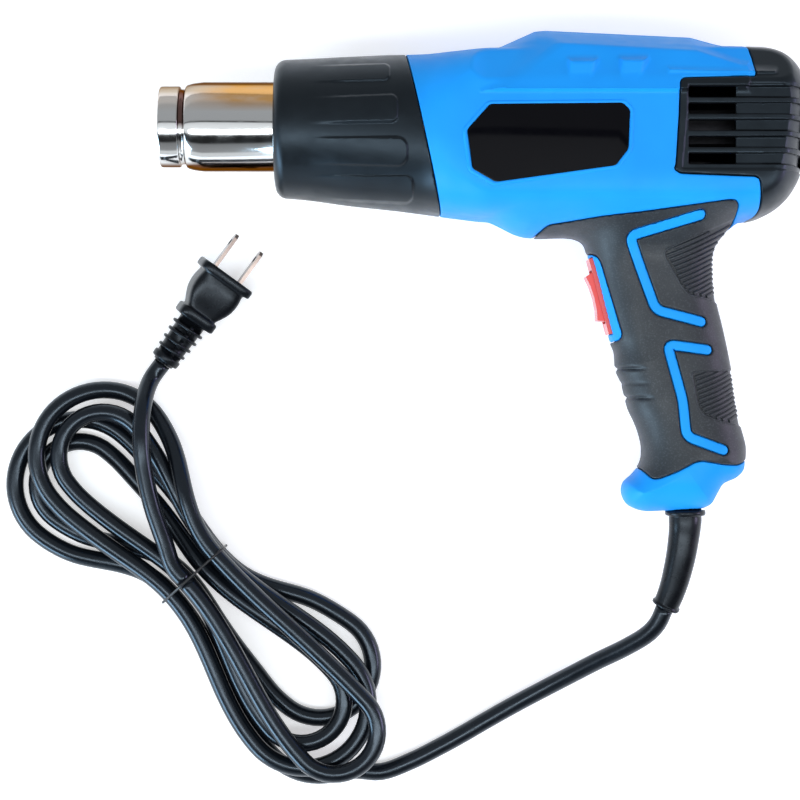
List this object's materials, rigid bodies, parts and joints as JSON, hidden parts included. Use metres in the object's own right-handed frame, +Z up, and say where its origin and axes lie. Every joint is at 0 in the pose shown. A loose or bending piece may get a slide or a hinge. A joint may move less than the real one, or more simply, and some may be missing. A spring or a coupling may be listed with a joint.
{
  "type": "heat gun",
  "caption": "Corded hot air tool with a steel nozzle, nose shroud, rubber-covered handle, rocker switch, and a tied cord with plug.",
  "frame": {"origin": "middle of the box round the tool itself, on the surface it lies on, without the free cord and plug", "axes": "+X from the nozzle towards the tail, along the barrel; +Y from the handle up to the barrel; +Z up, out of the left flank"},
  "size_m": [0.3331, 0.3143, 0.0769],
  "materials": {
    "blue_abs": "fine satin",
    "black_plastic": "satin",
    "grip_rubber": "fine grain",
    "gloss_black": "gloss",
    "red_plastic": "semi-gloss",
    "nozzle_steel": "polished",
    "zinc_steel": "satin",
    "brass_metal": "satin",
    "blade_metal": "polished",
    "winding": "satin",
    "mica": "matte",
    "ferrite": "matte",
    "inner_plastic": "matte",
    "board": "matte",
    "cord_jacket": "semi-gloss",
    "wire_red": "satin",
    "wire_black": "satin"
  },
  "bodies": {
    "tool": {"housing_left": "blue_abs", "housing_right": "blue_abs", "nose_shroud": "black_plastic", "rear_cap": "black_plastic", "motor_end_bell": "black_plastic", "switch_body": "black_plastic", "cord_clamp": "black_plastic", "grip_left": "grip_rubber", "grip_right": "grip_rubber", "label_plate_left": "gloss_black", "label_plate_right": "gloss_black", "cord_tie": "gloss_black", "switch_frame": "red_plastic", "nozzle_tube": "nozzle_steel", "tube_flange": "zinc_steel", "thermal_cutout": "zinc_steel", "motor_can": "zinc_steel", "flange_screw_1": "zinc_steel", "flange_screw_2": "zinc_steel", "flange_screw_3": "zinc_steel", "housing_screw_1": "zinc_steel", "housing_screw_2": "zinc_steel", "housing_screw_3": "zinc_steel", "housing_screw_4": "zinc_steel", "housing_screw_5": "zinc_steel", "housing_screw_6": "zinc_steel", "housing_screw_7": "zinc_steel", "clamp_screw_1": "zinc_steel", "clamp_screw_2": "zinc_steel", "motor_bush_front": "brass_metal", "motor_bush_rear": "brass_metal", "switch_terminal_1": "brass_metal", "switch_terminal_2": "brass_metal", "switch_terminal_3": "brass_metal", "plug_blade_1": "blade_metal", "plug_blade_2": "blade_metal", "heater_coil": "winding", "mica_sleeve": "mica", "heater_core": "mica", "heater_base": "mica", "magnet_upper": "ferrite", "magnet_lower": "ferrite", "air_duct": "inner_plastic", "motor_mount": "inner_plastic", "rectifier_board": "board", "cord_sleeve": "cord_jacket", "cord_stub": "cord_jacket", "cord_lead": "cord_jacket", "cord_hank": "cord_jacket", "cord_tail": "cord_jacket", "plug_body": "cord_jacket", "wire_live": "wire_red", "wire_neutral": "wire_black"},
    "rotor": {"fan_impeller": "inner_plastic", "motor_shaft": "zinc_steel", "motor_armature": "winding", "commutator": "brass_metal"},
    "rocker": {"switch_rocker": "red_plastic"}
  },
  "joints": [
    {"name": "rocker_tilt", "type": "hinge", "parent": "tool", "child": "rocker", "pos_m": [0.04953, 0.01066, 0.038], "axis": [0, 0, 1], "range_deg": [-10, 10]},
    {"name": "fan_spin", "type": "hinge", "parent": "tool", "child": "rotor", "pos_m": [0.0479, 0.07975, 0.038], "axis": [1, 0, 0], "continuous": true}
  ]
}
